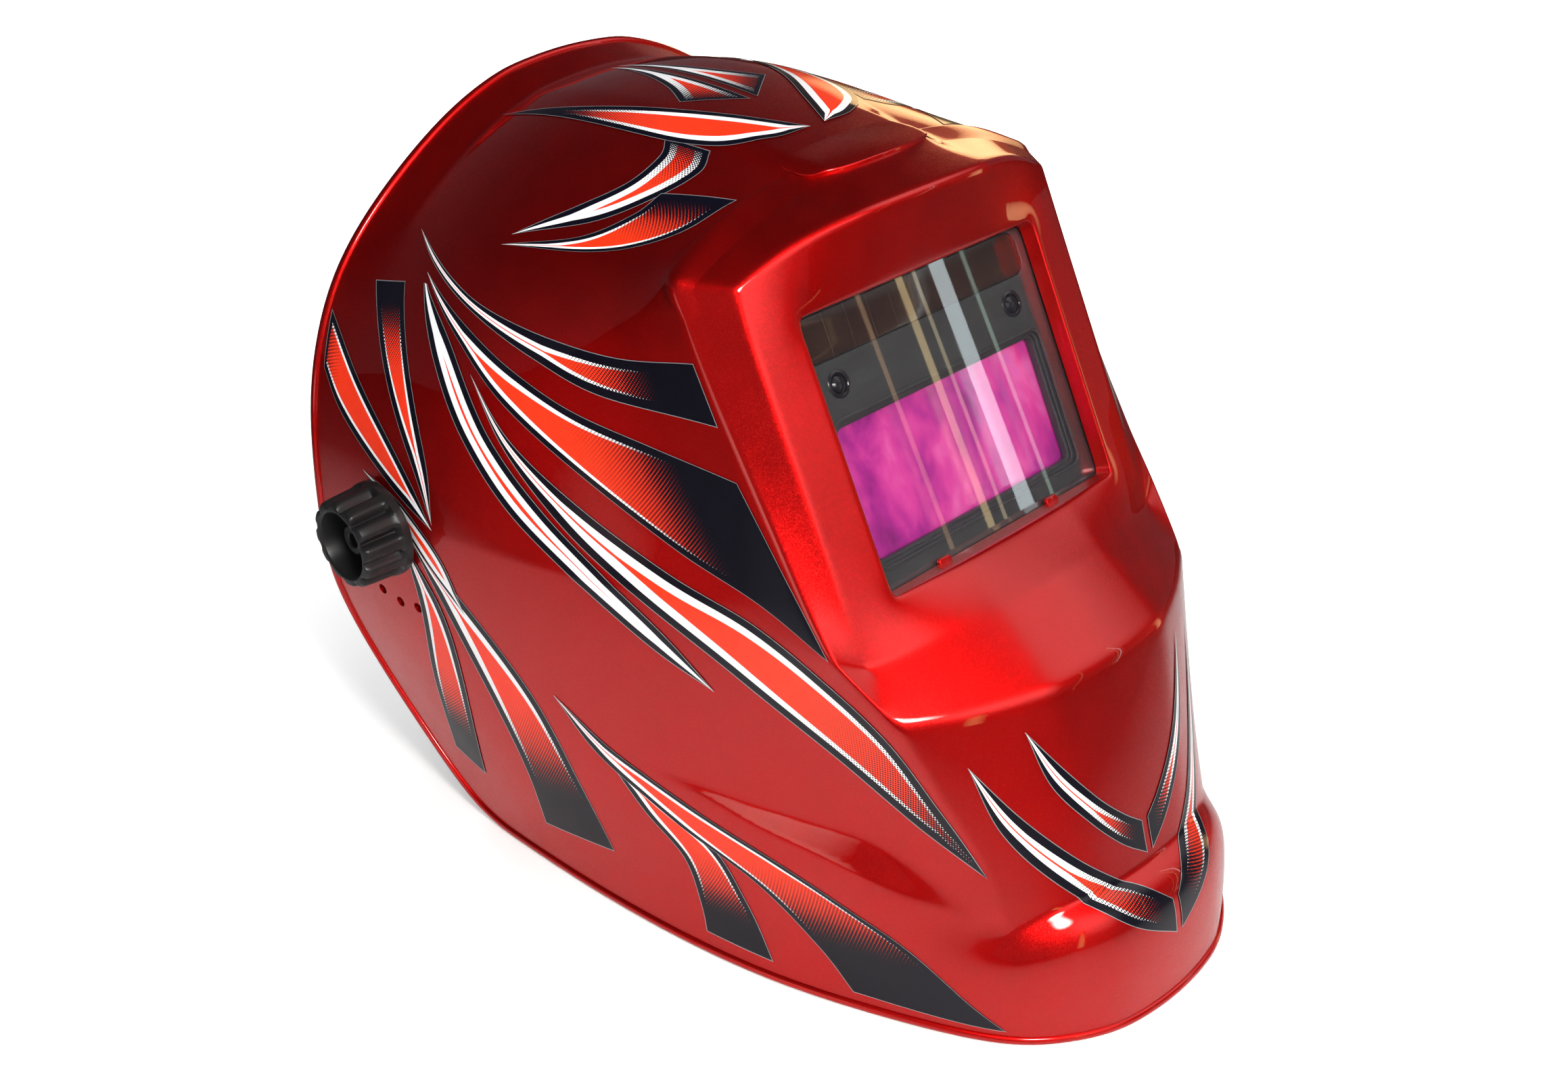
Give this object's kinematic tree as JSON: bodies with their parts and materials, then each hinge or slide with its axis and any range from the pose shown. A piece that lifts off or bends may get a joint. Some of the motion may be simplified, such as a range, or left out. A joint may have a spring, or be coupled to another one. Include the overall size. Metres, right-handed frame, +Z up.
{
  "type": "welding helmet",
  "caption": "Auto-darkening welding helmet: one-piece red shell with a boxed lens window, screw-down tilt knobs and a ratchet headgear.",
  "frame": {"origin": "on the table under the middle of the overall bounding box, with the helmet resting on its rim", "axes": "+Z up, -Y is the front (the lens side), +X is the wearer's left"},
  "size_m": [0.2726, 0.3837, 0.2524],
  "materials": {
    "shell_paint": "glossy candy-red paint with printed stripes over moulded nylon",
    "clear_lens": "clear polycarbonate",
    "black_plastic": "fine matte",
    "grey_plastic": "fine matte",
    "filter_glass": "dark filter with magenta mirror coating",
    "solar_cell": "glossy amorphous cell",
    "sensor_dome": "glossy dome",
    "circuit_board": "solder mask",
    "nickel": "satin nickel plate",
    "strap_plastic": "flexible matte",
    "soft_foam": "stitched foam and cloth",
    "nylon": "natural nylon"
  },
  "bodies": {
    "shell_assembly": {"shell": "shell_paint", "front_cover_lens": "clear_lens", "adf_front_housing": "grey_plastic", "adf_rear_housing": "grey_plastic", "adf_filter_glass": "filter_glass", "solar_cell": "solar_cell", "arc_sensor_left": "sensor_dome", "arc_sensor_right": "sensor_dome", "adf_circuit_board": "circuit_board", "adf_battery_left": "nickel", "adf_battery_right": "nickel", "inner_cover_lens": "clear_lens", "retainer_hinge_rod": "nickel", "angle_stop_left": "black_plastic", "angle_stop_right": "black_plastic", "friction_washer_left": "nylon", "friction_washer_right": "nylon"},
    "retainer": {"cartridge_retainer": "black_plastic"},
    "shade_control": {"shade_dial": "black_plastic"},
    "sensitivity_control": {"sensitivity_dial": "black_plastic"},
    "delay_control": {"delay_dial": "black_plastic"},
    "tilt_arms": {"tilt_arm_left": "strap_plastic", "tilt_arm_right": "strap_plastic", "pivot_bolt_left": "nickel", "pivot_bolt_right": "nickel"},
    "knob_left": {"tilt_knob_left": "black_plastic"},
    "knob_right": {"tilt_knob_right": "black_plastic"},
    "headband": {"headband_front": "strap_plastic", "sweatband": "soft_foam", "fore_aft_rail_left": "black_plastic", "fore_aft_rail_right": "black_plastic", "crown_strap_left": "strap_plastic", "crown_strap_right": "strap_plastic", "crown_peg": "black_plastic", "ratchet_housing_inner": "black_plastic", "ratchet_housing_outer": "black_plastic", "nape_pad": "soft_foam"},
    "strap_left": {"rear_strap_left": "strap_plastic"},
    "strap_right": {"rear_strap_right": "strap_plastic"},
    "ratchet": {"ratchet_knob": "black_plastic", "ratchet_pinion": "nylon"}
  },
  "joints": [
    {"name": "headgear_tilt", "type": "hinge", "parent": "shell_assembly", "child": "tilt_arms", "pos_m": [0, 0.05625, 0.121], "axis": [1, 0, 0], "range_deg": [-27.5, 40]},
    {"name": "headgear_fore_aft", "type": "slide", "parent": "tilt_arms", "child": "headband", "axis": [0, 1, 0], "range_m": [-0.008, 0.008]},
    {"name": "tilt_knob_left_turn", "type": "hinge", "parent": "tilt_arms", "child": "knob_left", "pos_m": [0.1187, 0.05625, 0.121], "axis": [1, 0, 0], "continuous": true},
    {"name": "tilt_knob_right_turn", "type": "hinge", "parent": "tilt_arms", "child": "knob_right", "pos_m": [-0.1187, 0.05625, 0.121], "axis": [-1, 0, 0], "continuous": true},
    {"name": "ratchet_turn", "type": "hinge", "parent": "headband", "child": "ratchet", "pos_m": [0, 0.16925, 0.088], "axis": [0, -1, 0], "range_deg": [0, 188]},
    {"name": "rear_strap_left_tighten", "type": "hinge", "parent": "headband", "child": "strap_left", "pos_m": [0, 0.08725, 0.128], "axis": [0, 0, 1], "range_deg": [0, 8]},
    {"name": "rear_strap_right_tighten", "type": "hinge", "parent": "headband", "child": "strap_right", "pos_m": [0, 0.08725, 0.128], "axis": [0, 0, -1], "range_deg": [0, 8]},
    {"name": "retainer_swing", "type": "hinge", "parent": "shell_assembly", "child": "retainer", "pos_m": [0, -0.04581, 0.21323], "axis": [1, 0, 0], "range_deg": [0, 30]},
    {"name": "shade_dial_turn", "type": "hinge", "parent": "shell_assembly", "child": "shade_control", "pos_m": [-0.03, -0.061, 0.19183], "axis": [0, 0.887, -0.4617], "range_deg": [-135, 135]},
    {"name": "sensitivity_dial_turn", "type": "hinge", "parent": "shell_assembly", "child": "sensitivity_control", "pos_m": [0, -0.061, 0.19183], "axis": [0, 0.887, -0.4617], "range_deg": [-135, 135]},
    {"name": "delay_dial_turn", "type": "hinge", "parent": "shell_assembly", "child": "delay_control", "pos_m": [0.03, -0.061, 0.19183], "axis": [0, 0.887, -0.4617], "range_deg": [-135, 135]}
  ],
  "couplings": [
    {"joint": "rear_strap_left_tighten", "follows": "ratchet_turn", "ratio": 0.0421},
    {"joint": "rear_strap_right_tighten", "follows": "ratchet_turn", "ratio": 0.0421}
  ]
}
